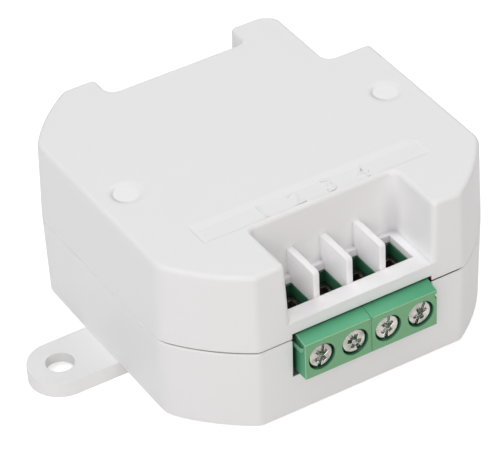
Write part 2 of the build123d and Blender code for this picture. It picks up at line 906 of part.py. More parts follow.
# The two fixed contacts: one under the reed's button, the other over it
def relay_fixed_contacts():
    reed_low = armature_bottom() + armature_thickness
    reed_high = reed_low + reed_thickness
    under = reed_low - moving_button_height - contact_travel - coil_clearance
    over = reed_high + moving_button_height + coil_clearance
    half = strip_width / 2
    foot = -board_thickness - lead_tail
    pin_half = pin_width / 2
    upright = (strip_back, strip_back + strip_thickness)
    shelf = under - fixed_button_height
    reach = (contact_button_y - half, strip_back + strip_thickness)
    make = block_between((-half, half), reach, (shelf - strip_thickness, shelf))
    make += block_between((-half, half), upright, (relay_lift + relay_base_height, shelf))
    make += block_between((-pin_half, pin_half), upright, (foot, relay_lift + relay_base_height))
    make += Pos(0, contact_button_y) * rod_up(contact_button_diameter, shelf, under)
    top = over + fixed_button_height
    side = (side_strip_x, side_strip_x + strip_thickness)
    width = (contact_button_y - half, contact_button_y + half)
    over_arm = (-contact_button_diameter / 2, side_strip_x + strip_thickness)
    rest = block_between(over_arm, width, (top, top + strip_thickness))
    rest += block_between(side, width, (relay_lift + relay_base_height, top + strip_thickness))
    pin = (contact_button_y - pin_half, contact_button_y + pin_half)
    rest += block_between(side, pin, (foot, relay_lift + relay_base_height))
    rest += Pos(0, contact_button_y) * rod_up(contact_button_diameter, over, top)
    return on_board(relay_x, relay_y, Compound([make.solid(), rest.solid()]))


def film_capacitor():
    body = Box(film_width, film_length, film_height, align=UP)
    body = fillet(body.edges(), film_edge_radius)
    for side in (-1, 1):
        body += Pos(0, side * film_lead_spacing / 2) * lead()
    return on_board(film_x, film_y, body)


# Aluminium can with the crimp groove near its foot, standing on two leads
def can_capacitor(diameter, height, spacing, along_y):
    radius = diameter / 2
    dent = can_groove_depth
    low = can_groove_height
    profile = Polyline(
        (0, 0),
        (radius, 0),
        (radius, low - dent),
        (radius - dent, low),
        (radius, low + dent),
        (radius, height - dent),
        (radius - dent, height),
        (0, height),
        close=True,
    )
    can = revolve(Plane.XZ * make_face(profile), Axis.Z)
    for side in (-1, 1):
        shift = side * spacing / 2
        can += (Pos(0, shift) if along_y else Pos(shift, 0)) * lead()
    return can


def varistor():
    radius = varistor_diameter / 2
    middle = varistor_lift + radius
    disc = Pos(0, 0, middle) * Rot(0, 90, 0) * Cylinder(radius, varistor_thickness)
    disc = fillet(disc.edges(), varistor_thickness * 0.35)
    for side in (-1, 1):
        disc += Pos(0, side * varistor_lead_spacing / 2) * lead(high=middle)
    return on_board(varistor_x, varistor_y, disc)


# Fusible resistor: a dumb-bell body along Y on two bent leads
def fuse_resistor():
    radius = fuse_diameter / 2
    waist = fuse_waist_diameter / 2
    half = fuse_length / 2
    profile = Polyline(
        (0, -half),
        (radius * 0.7, -half),
        (radius, -half * 0.85),
        (radius, -half * 0.65),
        (waist, -half * 0.5),
        (waist, half * 0.5),
        (radius, half * 0.65),
        (radius, half * 0.85),
        (radius * 0.7, half),
        (0, half),
        close=True,
    )
    body = Pos(0, 0, radius) * revolve(make_face(profile), Axis.Y)
    reach = fuse_lead_spacing / 2
    bend = lead_diameter
    for side in (-1, 1):
        corner = (0, side * reach, radius)
        points = [(0, side * half * 0.9, radius), corner, (0, side * reach, -board_thickness - lead_tail)]
        path = FilletPolyline(*points, radius=bend)
        section = Plane(origin=path @ 0, z_dir=path % 0) * Circle(lead_diameter / 2)
        body += sweep(section, path=path)
    return on_board(fuse_x, fuse_y, body)


def bridge_rectifier():
    length = rectifier_length - 2 * rectifier_shoulder
    body = Box(rectifier_width, length, rectifier_height, align=UP)
    body = Pos(0, 0, rectifier_lift) * chamfer(body.faces().sort_by(Axis.Z)[-1].edges(), 0.5)
    top = rectifier_pin_height + rectifier_pin_thickness
    half = rectifier_pin_width / 2
    for side_x in (-1, 1):
        x = side_x * rectifier_pin_spacing / 2
        reach = rectifier_length / 2 + lead_diameter / 4
        body += block_between((x - half, x + half), (-reach, reach), (rectifier_pin_height, top))
        for side_y in (-1, 1):
            body += Pos(x, side_y * rectifier_length / 2) * lead(high=top)
    return on_board(rectifier_x, rectifier_y, body)


def radio_board():
    span = (radio_lift, radio_lift + radio_height)
    half = radio_width / 2
    board = block_between((-half, half), (-radio_thickness / 2, radio_thickness / 2), span)
    for x in header_xs():
        hole = lead_diameter / 2 + 0.05
        deep = (radio_lift - radio_thickness, radio_lift + header_hole_height)
        board -= block_between((x - hole, x + hole), (-hole, hole), deep)
    return on_board(0, radio_y, board)


def radio_header():
    half = header_pin_count * header_pitch / 2
    bar = block_between((-half, half), (-header_width / 2, header_width / 2), (0, radio_lift))
    for x in header_xs():
        bar += Pos(x, 0) * lead(high=radio_lift + 1.4)
    return on_board(0, radio_y, bar)


def radio_chip():
    front = -radio_thickness / 2
    middle = radio_lift + radio_height * 0.55
    half_x, half_z = radio_chip_width / 2, radio_chip_height / 2
    span = (front - radio_chip_thickness, front)
    chip = block_between((-half_x, half_x), span, (middle - half_z, middle + half_z))
    pin_half = chip_pin_width / 2
    for i in range(4):
        x = (i - 1.5) * controller_pin_pitch
        reach = (front - chip_pin_thickness, front)
        pins = (middle - half_z - 1, middle + half_z + 1)
        chip += block_between((x - pin_half, x + pin_half), reach, pins)
    return on_board(0, radio_y, chip)


def radio_crystal():
    back = radio_thickness / 2
    outline = SlotOverall(crystal_width, crystal_height)
    can = extrude(Plane.XZ * outline, -crystal_depth)
    flange = extrude(Plane.XZ * offset(outline, 0.35), -0.5)
    middle = radio_lift + radio_height * 0.55
    return on_board(0, radio_y + back, Pos(0, 0, middle) * (can + flange))


# Spring antenna: an upright helix whose lower end runs straight down into the board
def antenna_coil():
    radius = antenna_diameter / 2
    arcs = []
    for i in range(2 * antenna_turns):
        low = antenna_lift + i * antenna_pitch / 2
        side = 1 if i % 2 == 0 else -1
        points = [(side * radius, 0), (0, side * radius), (-side * radius, 0)]
        arc = [(x, y, low + j * antenna_pitch / 4) for j, (x, y) in enumerate(points)]
        arcs.append(ThreePointArc(*arc))
    path = Wire(arcs)
    section = Plane(origin=path @ 0, z_dir=path % 0) * Circle(antenna_wire / 2)
    coil = sweep(section, path=path)
    foot = Pos(radius, 0) * lead(high=antenna_lift + antenna_wire / 2)
    return on_board(antenna_x, antenna_y, coil + foot)


def under_board(x, y, part):
    return Pos(x, y, board_bottom) * Rot(180, 0, 0) * part


def controller_chip():
    body = Pos(0, 0, 0.1) * Box(controller_length, controller_width, controller_height, align=UP)
    body = chamfer(body.faces().sort_by(Axis.Z)[-1].edges(), 0.2)
    per_side = controller_pin_count // 2
    for i in range(per_side):
        x = (i - (per_side - 1) / 2) * controller_pin_pitch
        half = chip_pin_width / 2
        foot = (-controller_span / 2, controller_span / 2)
        pins = block_between((x - half, x + half), foot, (0, chip_pin_thickness))
        body += pins
    return under_board(controller_x, controller_y, body)


def driver_parts():
    transistor = (transistor_length, transistor_width, transistor_height)
    diode = (diode_length, diode_width, diode_height)
    parts = []
    for i, (length, width, height) in enumerate([transistor, diode]):
        part = Box(length, width, height, align=UP)
        part = chamfer(part.faces().sort_by(Axis.Z)[-1].edges(), driver_edge_bevel)
        parts.append(under_board(driver_x + i * driver_spacing, driver_y, part).solid())
    return Compound(parts)


def chip_resistors():
    parts = []
    for i in range(resistor_count):
        x = (i - (resistor_count - 1) / 2) * resistor_spacing
        part = Box(resistor_width, resistor_length, resistor_height, align=UP)
        parts.append(under_board(x, resistor_y, part).solid())
    return Compound(parts)


# Push switch on the underside of the board, over the button in the base
def tact_switch():
    body = Box(tact_size, tact_size, tact_height, align=UP)
    body = chamfer(body.edges().filter_by(Axis.Z), 0.4)
    body -= rod_up(tact_stem_bore, tact_height - tact_stem_depth - button_travel, tact_height + 1)
    for side_x in (-1, 1):
        for side_y in (-1, 1):
            x, y = side_x * tact_pin_x, side_y * tact_pin_y
            arm = (x - side_x * 0.6, x)
            body += block_between((min(arm), max(arm)), (y - 0.3, y + 0.3), (0.2, 0.6))
            body += Pos(x, y) * rod_up(lead_diameter, -board_thickness - 1.0, 0.6)
    return under_board(button_x, button_y, body)


def button_top():
    return base_floor_top + 0.05 + button_flange_height


def tact_stem():
    low = tact_height - tact_stem_depth
    high = board_bottom - button_top()
    stem = rod_up(tact_stem_diameter, low, high)
    return under_board(button_x, button_y, stem)


def pairing_button():
    button = rod_up(button_diameter, button_recess, button_top())
    low_edge = button.edges().group_by(Axis.Z)[0]
    button = fillet(low_edge, 0.3)
    button += rod_up(button_flange_diameter, button_top() - button_flange_height, button_top())
    return Pos(button_x, button_y) * button


def save(name, part):
    export_step(part, f"parts/{name}.step")


def main():
    os.makedirs("parts", exist_ok=True)
    save("top_shell", top_shell())
    save("bottom_shell", bottom_shell())
    save("case_screws", Compound([(Pos(x, y) * case_screw()).solid() for x, y in bosses]))
    for i in range(block_count):
        centre = block_x + (i - (block_count - 1) / 2) * block_width
        save(f"terminal_housing_{i + 1}", terminal_housing(centre))
    for i, x in enumerate(pole_xs):
        save(f"terminal_screw_{i + 1}", terminal_screw(x, clamp_head_turns[i]))
        save(f"clamp_cage_{i + 1}", clamp_cage(x))
        save(f"contact_bar_{i + 1}", contact_bar(x))
    save("circuit_board", circuit_board())
    save("relay_cover", relay_cover())
    save("relay_base", relay_base())
    save("relay_coil_pins", relay_coil_pins())
    save("relay_yoke", relay_yoke())
    save("relay_bobbin", relay_bobbin())
    save("relay_winding", relay_winding())
    save("relay_armature", relay_armature())
    save("relay_reed", relay_reed())
    save("relay_fixed_contacts", relay_fixed_contacts())
    save("film_capacitor", film_capacitor())
    reservoir = can_capacitor(reservoir_diameter, reservoir_height, reservoir_lead_spacing, True)
    save("reservoir_capacitor", on_board(reservoir_x, reservoir_y, reservoir))
    smoothing = can_capacitor(filter_diameter, filter_height, filter_lead_spacing, False)
    save("filter_capacitor", on_board(filter_x, filter_y, smoothing))
    save("varistor", varistor())
    save("fuse_resistor", fuse_resistor())
    save("bridge_rectifier", bridge_rectifier())
    save("radio_board", radio_board())
    save("radio_header", radio_header())
    save("radio_chip", radio_chip())
    save("radio_crystal", radio_crystal())
    save("antenna_coil", antenna_coil())
    save("controller_chip", controller_chip())
    save("driver_parts", driver_parts())
    save("chip_resistors", chip_resistors())
    save("tact_switch", tact_switch())
    save("tact_stem", tact_stem())
    save("pairing_button", pairing_button())


main()
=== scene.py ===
import math
import bpy
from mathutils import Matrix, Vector


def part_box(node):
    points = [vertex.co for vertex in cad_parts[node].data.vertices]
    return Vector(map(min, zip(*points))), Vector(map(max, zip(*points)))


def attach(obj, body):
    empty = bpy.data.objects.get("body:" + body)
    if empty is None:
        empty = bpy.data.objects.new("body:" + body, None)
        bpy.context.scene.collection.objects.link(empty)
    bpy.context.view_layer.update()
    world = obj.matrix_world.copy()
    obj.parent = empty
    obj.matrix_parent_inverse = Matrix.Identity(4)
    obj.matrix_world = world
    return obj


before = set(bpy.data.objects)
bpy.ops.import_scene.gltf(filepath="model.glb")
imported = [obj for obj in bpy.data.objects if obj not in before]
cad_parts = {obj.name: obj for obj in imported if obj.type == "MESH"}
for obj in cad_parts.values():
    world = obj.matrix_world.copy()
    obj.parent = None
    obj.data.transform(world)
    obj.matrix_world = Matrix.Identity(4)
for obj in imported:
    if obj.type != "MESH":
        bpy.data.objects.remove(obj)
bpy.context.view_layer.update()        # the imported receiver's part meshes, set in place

mm = 0.001
hair = 0.001 * mm        # places that lie nearer together than this are the same
white = (1.0, 1.0, 1.0, 1.0)
scene = bpy.context.scene
scene.view_settings.view_transform = "Standard"
bpy.ops.object.select_all(action="DESELECT")


# Small helpers for shapes

def aimed(place, target):
    return (Vector(target) - Vector(place)).to_track_quat("-Z", "Y").to_euler()


def dress(material, *names):
    for name in names:
        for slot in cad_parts[name].material_slots:
            slot.material = material


def newBlock(name, **spans):
    # a block between two places on each axis
    low, high = zip(*(spans[axis] for axis in "xyz"))
    bpy.ops.object.select_all(action="DESELECT")
    bpy.ops.mesh.primitive_cube_add(size=1.0, location=[(a + b) / 2 for a, b in zip(low, high)])
    block = bpy.context.object
    block.name = name
    block.scale = [b - a for a, b in zip(low, high)]
    bpy.ops.object.transform_apply(location=True, rotation=False, scale=True)
    return block


def selectEdges(piece, wanted):
    # selects the edges whose two ends pass the test, and stays in edit mode
    bpy.ops.object.mode_set(mode="EDIT")
    bpy.ops.mesh.select_mode(type="EDGE")
    bpy.ops.mesh.select_all(action="DESELECT")
    bpy.ops.object.mode_set(mode="OBJECT")
    for line in piece.data.edges:
        line.select = all(wanted(piece.data.vertices[end].co) for end in line.vertices)
    bpy.ops.object.mode_set(mode="EDIT")


# Small helpers for materials

def paint(red, green, blue):
    # screen values 0-255 turned into the linear colour that a shader takes
    def linear(value):
        value = value / 255
        return value / 12.92 if value <= 0.04045 else ((value + 0.055) / 1.055) ** 2.4
    return (linear(red), linear(green), linear(blue), 1.0)


def newGroup(name, inputs, outputs):
    group = bpy.data.node_groups.new(name, "ShaderNodeTree")
    kinds = {"value": "NodeSocketFloat", "vector": "NodeSocketVector"}
    for label, kind, start in inputs:
        socket = group.interface.new_socket(name=label, in_out="INPUT", socket_type=kinds[kind])
        if start is not None:
            socket.default_value = start
    for label, kind in outputs:
        group.interface.new_socket(name=label, in_out="OUTPUT", socket_type=kinds[kind])
    return group, group.nodes.new("NodeGroupInput").outputs, group.nodes.new("NodeGroupOutput").inputs


def newMaterial(name):
    material = bpy.data.materials.new(name)
    material.use_nodes = True
    return material, material.node_tree, material.node_tree.nodes["Principled BSDF"]


def feed(tree, socket, value):
    # a socket takes a plain value, or what another socket puts out
    if isinstance(value, bpy.types.NodeSocket):
        tree.links.new(value, socket)
    else:
        socket.default_value = value


def placeGroup(tree, group, **values):
    # puts a shared group into a material, with this material's own numbers
    node = tree.nodes.new("ShaderNodeGroup")
    node.node_tree = group
    node.name = group.name
    for label, value in values.items():
        feed(tree, node.inputs[label], value)
    return node.outputs


def calculated(tree, operation, *values):
    node = tree.nodes.new("ShaderNodeMath")
    node.operation = operation
    for socket, value in zip(node.inputs, values):
        feed(tree, socket, value)
    return node.outputs["Value"]


def calculatedVector(tree, operation, *values):
    node = tree.nodes.new("ShaderNodeVectorMath")
    node.operation = operation
    for socket, value in zip(node.inputs, values):
        feed(tree, socket, value)
    return node.outputs["Value" if operation in ("LENGTH", "DOT_PRODUCT") else "Vector"]


def multiplied(tree, *values):
    product = values[0]
    for value in values[1:]:
        product = calculated(tree, "MULTIPLY", product, value)
    return product


def blendColours(tree, factor, first, second):
    mix = tree.nodes.new("ShaderNodeMix")
    mix.data_type = "RGBA"
    mix.clamp_factor = True
    tree.links.new(factor, mix.inputs["Factor"])
    feed(tree, mix.inputs["A"], first)
    feed(tree, mix.inputs["B"], second)
    return mix.outputs["Result"]


def spread(tree, value, low, high, fromLow=0.0, fromHigh=1.0, smooth=False):
    # turns one range of values into another one
    node = tree.nodes.new("ShaderNodeMapRange")
    if smooth:
        node.interpolation_type = "SMOOTHSTEP"
    for label, number in (("From Min", fromLow), ("From Max", fromHigh), ("To Min", low), ("To Max", high)):
        feed(tree, node.inputs[label], number)
    tree.links.new(value, node.inputs["Value"])
    return node.outputs["Result"]


def ownPlace(tree):
    # where a point lies in the object's own space
    return tree.nodes.new("ShaderNodeTexCoord").outputs["Object"]


def ownAxes(tree, coordinates=None):
    apart = tree.nodes.new("ShaderNodeSeparateXYZ")
    tree.links.new(coordinates or ownPlace(tree), apart.inputs["Vector"])
    return apart.outputs


def noiseOver(tree, coordinates, scale, detail, roughness=0.5):
    node = tree.nodes.new("ShaderNodeTexNoise")
    node.inputs["Detail"].default_value = detail
    node.inputs["Roughness"].default_value = roughness
    feed(tree, node.inputs["Scale"], scale)
    tree.links.new(coordinates, node.inputs["Vector"])
    return node.outputs["Fac"]


def bumped(tree, height, distance, normal, strength=1.0):
    node = tree.nodes.new("ShaderNodeBump")
    node.inputs["Distance"].default_value = distance
    feed(tree, node.inputs["Strength"], strength)
    tree.links.new(height, node.inputs["Height"])
    tree.links.new(normal, node.inputs["Normal"])
    return node.outputs["Normal"]


def withinBox(tree, low, high, soft):
    # 1 inside a box of the object's own space, falling to 0 over a soft border outside it
    axes = ownAxes(tree)
    sides = []
    for axis, start, end, border in zip("XYZ", low, high, soft):
        sides.append(spread(tree, axes[axis], 0.0, 1.0, start - border, start))
        sides.append(spread(tree, axes[axis], 1.0, 0.0, end, end + border))
    return multiplied(tree, *sides)


def lookedAtMask(tree):
    # 1 for rays that show the background: straight, mirrored or through glass
    rays = tree.nodes.new("ShaderNodeLightPath").outputs
    either = calculated(tree, "MAXIMUM", rays["Is Camera Ray"], rays["Is Glossy Ray"])
    return calculated(tree, "MAXIMUM", either, rays["Is Transmission Ray"])


def tint(tree, shader, mask, colour, share=1.0):
    # turns the base colour towards another one, by so large a share of the mask
    if share < 1.0:
        mask = spread(tree, mask, 0.0, share)
    before = shader.inputs["Base Color"].links[0].from_socket
    tree.links.new(blendColours(tree, mask, before, colour), shader.inputs["Base Color"])


def tintWithin(tree, shader, low, high, soft, colour, share=1.0):
    tint(tree, shader, withinBox(tree, low, high, soft), colour, share)


# Camera, floor and light

viewpoint = {
    "place": (-0.17355866, -0.29714610, 0.27730964),
    "turn": (0.914532426, 0.036143789, -0.552199434),   # radians
    "focalLength": 232.32412763,
    "sensorWidth": 36.0,
    "nearest": 0.01,
}

bpy.ops.object.camera_add(location=viewpoint["place"], rotation=viewpoint["turn"])
camera = bpy.context.object
camera.name = "photoCamera"
camera.data.lens = viewpoint["focalLength"]
camera.data.sensor_width = viewpoint["sensorWidth"]
camera.data.sensor_fit = "HORIZONTAL"
camera.data.clip_start = viewpoint["nearest"]
scene.camera = camera

studio = {
    "floorSize": 4.0,
    "floorHeight": -0.02 * mm,        # just clear of the underside
    "floorColour": (0.80, 0.80, 0.80, 1.0),
    "floorRoughness": 0.9,
    "floorGlow": 0.55,        # seen, but lights nothing
    "skyColour": white,
    "skyStrength": 0.16,
    "aim": (0, 0, 0.01),
    "lamps": {
        # name: place, size, watts, colour
        "leftSoftbox": ((-0.50, 0.05, 0.85), 0.60, 3.25, (0.935, 0.975, 1.0)),
        "frontSoftbox": ((0.40, -0.45, 0.80), 0.60, 0.88, (1.0, 0.875, 0.86)),
        "backSoftbox": ((0.45, 0.40, 0.80), 0.60, 2.30, (0.97, 0.985, 1.0)),
        "cameraSoftbox": ((-0.45, -0.72, 0.66), 0.60, 3.00, (1.0, 0.945, 0.945)),
        "lowSoftbox": ((-0.10, -0.90, 0.24), 0.60, 0.62, (1.0, 0.90, 0.89)),
        "cornerSoftbox": ((-0.65, -0.65, 0.40), 0.60, 0.85, (1.0, 0.95, 0.94)),
    },
}

bpy.ops.mesh.primitive_plane_add(size=studio["floorSize"], location=(0, 0, studio["floorHeight"]))
floor = bpy.context.object
floor.name = "studioFloor"

floorPaint, tree, shader = newMaterial("studioFloorPaint")
shader.inputs["Roughness"].default_value = studio["floorRoughness"]
shader.inputs["Specular IOR Level"].default_value = 0.0
shader.inputs["Emission Color"].default_value = white
lookedAt = lookedAtMask(tree)
tree.links.new(blendColours(tree, lookedAt, studio["floorColour"], white), shader.inputs["Base Color"])
tree.links.new(calculated(tree, "MULTIPLY", lookedAt, studio["floorGlow"]), shader.inputs["Emission Strength"])
floor.data.materials.append(floorPaint)

world = bpy.data.worlds.new("studioSky")
scene.world = world
world.use_nodes = True
skyTree = world.node_tree
sky = skyTree.nodes["Background"]
sky.inputs["Color"].default_value = studio["skyColour"]
skyLevel = spread(skyTree, lookedAtMask(skyTree), studio["skyStrength"], 1.0)
skyTree.links.new(skyLevel, sky.inputs["Strength"])

for name, (place, size, watts, colour) in studio["lamps"].items():
    bpy.ops.object.light_add(type="AREA", location=place, rotation=aimed(place, studio["aim"]))
    lamp = bpy.context.object
    lamp.name = name
    lamp.data.size = size
    lamp.data.energy = watts
    lamp.data.color = colour
print("camera, floor and lamps are set")


# Shared surface effects

effects = {
    "samples": 6,
    "edgeSpan": (0.995, 0.86),    # how far the rounded normal agrees with the flat one: no edge, full edge
    "grainDetail": 3.0,
    "grainRoughness": 0.6,
    "grainHeight": 0.02 * mm,
    "patchDetail": 2.0,
    "grainInGloss": 0.45,
    "plasticGloss": (0.40, 1.05),
    "lineDetail": 2.0,
    "lineHeight": 0.015 * mm,
    "linesInGloss": 0.5,
    "metalGloss": (0.40, 1.10),
    "smudgeScale": 700.0,
    "smudgeDetail": 4.0,
    "smudgeTone": (0.35, 0.65),
    "roof": (25.0 * mm, 26.0 * mm),   # round marks show from here up
    "disc": (0.90, 1.04),             # parts of a mark's radius
    "litDiscShare": 0.7,
    "ringInside": (0.92, 1.02),
    "ringOutside": (1.06, 1.32),
    "shadedSide": (-0.95, -0.30),     # the painted shade fades in from the left side of the mark
    "shadedShare": 0.8,
    "heightBorder": 2.0 * mm,
}

# Rounds the look of sharp edges and says where they are
softEdges, entry, leave = newGroup(
    "softEdges", [("Radius", "value", 0.15 * mm)], [("Normal", "vector"), ("Edge", "value")])
rounding = softEdges.nodes.new("ShaderNodeBevel")
rounding.samples = effects["samples"]
flat = softEdges.nodes.new("ShaderNodeNewGeometry")
softEdges.links.new(entry["Radius"], rounding.inputs["Radius"])
turn = calculatedVector(softEdges, "DOT_PRODUCT", rounding.outputs["Normal"], flat.outputs["Normal"])
edge = spread(softEdges, turn, 0.0, 1.0, *effects["edgeSpan"], smooth=True)
softEdges.links.new(rounding.outputs["Normal"], leave["Normal"])
softEdges.links.new(edge, leave["Edge"])

# The fine spark-eroded grain of a moulded face, with slow changes of gloss and tone
mouldedSkin, entry, leave = newGroup(
    "mouldedSkin",
    [("Grain", "value", 5000.0), ("Depth", "value", 0.2), ("Patches", "value", 90.0), ("Normal", "vector", None)],
    [("Normal", "vector"), ("Gloss", "value"), ("Tone", "value")])
place = ownPlace(mouldedSkin)
grain = noiseOver(mouldedSkin, place, entry["Grain"], effects["grainDetail"], effects["grainRoughness"])
patches = noiseOver(mouldedSkin, place, entry["Patches"], effects["patchDetail"])
relief = bumped(mouldedSkin, grain, effects["grainHeight"], entry["Normal"], entry["Depth"])
gloss = calculated(mouldedSkin, "MULTIPLY_ADD", grain, effects["grainInGloss"], patches)
mouldedSkin.links.new(relief, leave["Normal"])
mouldedSkin.links.new(gloss, leave["Gloss"])
mouldedSkin.links.new(patches, leave["Tone"])

# Rolled or turned metal: fine lines one way, small pits and smudges in the plating
metalSkin, entry, leave = newGroup(
    "metalSkin",
    [("Lines", "vector", (400.0, 6000.0, 6000.0)), ("Depth", "value", 0.3), ("Normal", "vector", None)],
    [("Normal", "vector"), ("Gloss", "value"), ("Tone", "value")])
place = ownPlace(metalSkin)
lines = noiseOver(metalSkin, calculatedVector(metalSkin, "MULTIPLY", place, entry["Lines"]), 1.0, effects["lineDetail"])
smudges = noiseOver(metalSkin, place, effects["smudgeScale"], effects["smudgeDetail"])
relief = bumped(metalSkin, lines, effects["lineHeight"], entry["Normal"], entry["Depth"])
gloss = calculated(metalSkin, "MULTIPLY_ADD", lines, effects["linesInGloss"], smudges)
metalSkin.links.new(relief, leave["Normal"])
metalSkin.links.new(gloss, leave["Gloss"])
metalSkin.links.new(smudges, leave["Tone"])

# Says how far a place lies inside a gap or hole, where little light comes in
hollows, entry, leave = newGroup(
    "hollows",
    [("Reach", "value", 1.0 * mm), ("Open", "value", 0.72), ("Closed", "value", 0.12)],
    [("Shade", "value")])
opening = hollows.nodes.new("ShaderNodeAmbientOcclusion")
opening.samples = effects["samples"]
hollows.links.new(entry["Reach"], opening.inputs["Distance"])
shade = spread(hollows, opening.outputs["AO"], 0.0, 1.0, entry["Open"], entry["Closed"], smooth=True)
hollows.links.new(shade, leave["Shade"])

# Painted light and shade on the round mark that a boss leaves on the far side of a moulded wall: a painted highlight on
# its flat disc, and painted shade in a crease on one side
markLightAndShade, entry, leave = newGroup(
    "markLightAndShade",
    [("Centre", "vector", (0.0, 0.0, 0.0)), ("Radius", "value", 1.75 * mm)],
    [("LitDisc", "value"), ("ShadedCrease", "value")])
place = ownPlace(markLightAndShade)
fromCentre = calculatedVector(markLightAndShade, "SUBTRACT", place, entry["Centre"])
acrossRoof = calculatedVector(markLightAndShade, "MULTIPLY", fromCentre, (1.0, 1.0, 0.0))
away = calculated(markLightAndShade, "DIVIDE", calculatedVector(markLightAndShade, "LENGTH", acrossRoof), entry["Radius"])
heading = ownAxes(markLightAndShade, calculatedVector(markLightAndShade, "NORMALIZE", acrossRoof))
onRoof = spread(markLightAndShade, ownAxes(markLightAndShade, place)["Z"], 0.0, 1.0, *effects["roof"])
disc = spread(markLightAndShade, away, effects["litDiscShare"], 0.0, *effects["disc"])
ringInside = spread(markLightAndShade, away, 0.0, 1.0, *effects["ringInside"])
ringOutside = spread(markLightAndShade, away, 1.0, 0.0, *effects["ringOutside"])
shadedBeside = spread(markLightAndShade, heading["X"], effects["shadedShare"], 0.0, *effects["shadedSide"])
markLightAndShade.links.new(multiplied(markLightAndShade, disc, onRoof), leave["LitDisc"])
markLightAndShade.links.new(multiplied(markLightAndShade, ringInside, ringOutside, shadedBeside, onRoof), leave["ShadedCrease"])


def deepen(tree, shader, colour, share, reach, levels=(0.72, 0.12), above=None):
    # paints shade into the inside of gaps and holes, found by ambient occlusion, or only into those above a height;
    # with a pale colour it paints light there instead
    gap = placeGroup(tree, hollows, Reach=reach, Open=levels[0], Closed=levels[1])
    shade = spread(tree, gap["Shade"], 0.0, share)
    if above is not None:
        risen = spread(tree, ownAxes(tree)["Z"], 0.0, 1.0, above, above + effects["heightBorder"])
        shade = multiplied(tree, shade, risen)
    tint(tree, shader, shade, colour)


def plasticMaterial(name, look):
    # moulded plastic with soft edges and a painted highlight along them, fine grain, and a slow change of tone and
    # gloss
    material, tree, shader = newMaterial(name)
    edges = placeGroup(tree, softEdges, Radius=look["edgeRadius"])
    skin = placeGroup(tree, mouldedSkin, Grain=look["grain"], Depth=look["depth"], Patches=look["patches"],
                      Normal=edges["Normal"])
    body = blendColours(tree, skin["Tone"], look["dark"], look["light"])
    tree.links.new(body, shader.inputs["Base Color"])
    # painted highlight: the edges turned towards the look's paler edge colour
    tint(tree, shader, spread(tree, edges["Edge"], 0.0, look["edgeShare"]), look["edge"])
    gloss = spread(tree, skin["Gloss"], *look["roughness"], *effects["plasticGloss"])
    tree.links.new(gloss, shader.inputs["Roughness"])
    tree.links.new(skin["Normal"], shader.inputs["Normal"])
    return material, tree, shader


def metalMaterial(name, look):
    # plated or bare metal with drawn lines, smudges and a painted highlight along the edges
    material, tree, shader = newMaterial(name)
    shader.inputs["Metallic"].default_value = 1.0
    edges = placeGroup(tree, softEdges, Radius=look["edgeRadius"])
    skin = placeGroup(tree, metalSkin, Lines=look["lines"], Depth=look["depth"], Normal=edges["Normal"])
    tone = spread(tree, skin["Tone"], 0.0, 1.0, *effects["smudgeTone"])
    tree.links.new(blendColours(tree, tone, look["dark"], look["light"]), shader.inputs["Base Color"])
    # painted highlight: the edges turned towards the look's paler edge colour
    tint(tree, shader, spread(tree, edges["Edge"], 0.0, look["edgeShare"]), look["edge"])
    gloss = spread(tree, skin["Gloss"], *look["roughness"], *effects["metalGloss"])
    tree.links.new(gloss, shader.inputs["Roughness"])
    tree.links.new(skin["Normal"], shader.inputs["Normal"])
    return material, tree, shader


# Casing

casingLook = {
    "dark": paint(243, 243, 243),
    "light": paint(246, 246, 245),
    "edge": paint(249, 249, 248),
    "edgeShare": 0.5,
    "edgeRadius": 0.17 * mm,
    "grain": 5200.0,
    "depth": 0.16,
    "patches": 70.0,
    "roughness": (0.42, 0.56),
    "shine": 0.35,
    "recess": {                          # painted light: the recess walls turned paler, the more so the deeper in
        "colour": paint(254, 254, 255),
        "share": 0.95,
        "reach": 5.0 * mm,
        "levels": (0.95, 0.45),
        "above": 10.0 * mm,
    },
    "corners": {                         # painted shade: soft grey in the corners of the recess
        "colour": paint(120, 120, 124),
        "share": 0.30,
        "reach": 1.5 * mm,
        "levels": (0.66, 0.40),
        "above": 10.0 * mm,
    },
    "gapPaintedShade": {                            # painted shade in seams and slits
        "colour": paint(70, 64, 60),
        "share": 0.95,
        "reach": 0.9 * mm,
        "levels": (0.36, 0.08),
    },
    "farCorner": {                       # painted shade in the far right corner of the recess
        "low": (10.30 * mm, -16.30 * mm, 15.0 * mm),
        "high": (12.00 * mm, -13.0 * mm, 17.5 * mm),
        "soft": (1.6 * mm, 1.6 * mm, 8.0 * mm),
        "colour": paint(120, 120, 124),
        "share": 0.28,
    },
    "port": {                            # painted shade in the opening that the terminal blocks look out of
        "low": (-10.68 * mm, -24.80 * mm, 8.42 * mm),
        "high": (10.78 * mm, -23.20 * mm, 15.10 * mm),
        "soft": (0.15 * mm,) * 3,
        "colour": paint(66, 57, 52),
        "share": 0.85,
    },
    "openSeam": {                        # painted shadow where the seam gapes beside the blocks
        "low": (10.70 * mm, -24.96 * mm, 14.43 * mm),
        "high": (15.20 * mm, -22.00 * mm, 14.75 * mm),
        "soft": (0.02 * mm,) * 3,
        "colour": paint(14, 12, 12),
    },
    "markCentres": ((-20.1 * mm, -0.2 * mm), (20.1 * mm, -0.2 * mm)),
    "markRadius": 1.75 * mm,
    "markLitDisc": paint(254, 254, 254),
    "markShadedCrease": paint(205, 205, 206),
}
casingPlastic, tree, shader = plasticMaterial("casingPlastic", casingLook)
shader.inputs["Specular IOR Level"].default_value = casingLook["shine"]
# painted light: the recess walls turned paler
deepen(tree, shader, **casingLook["recess"])
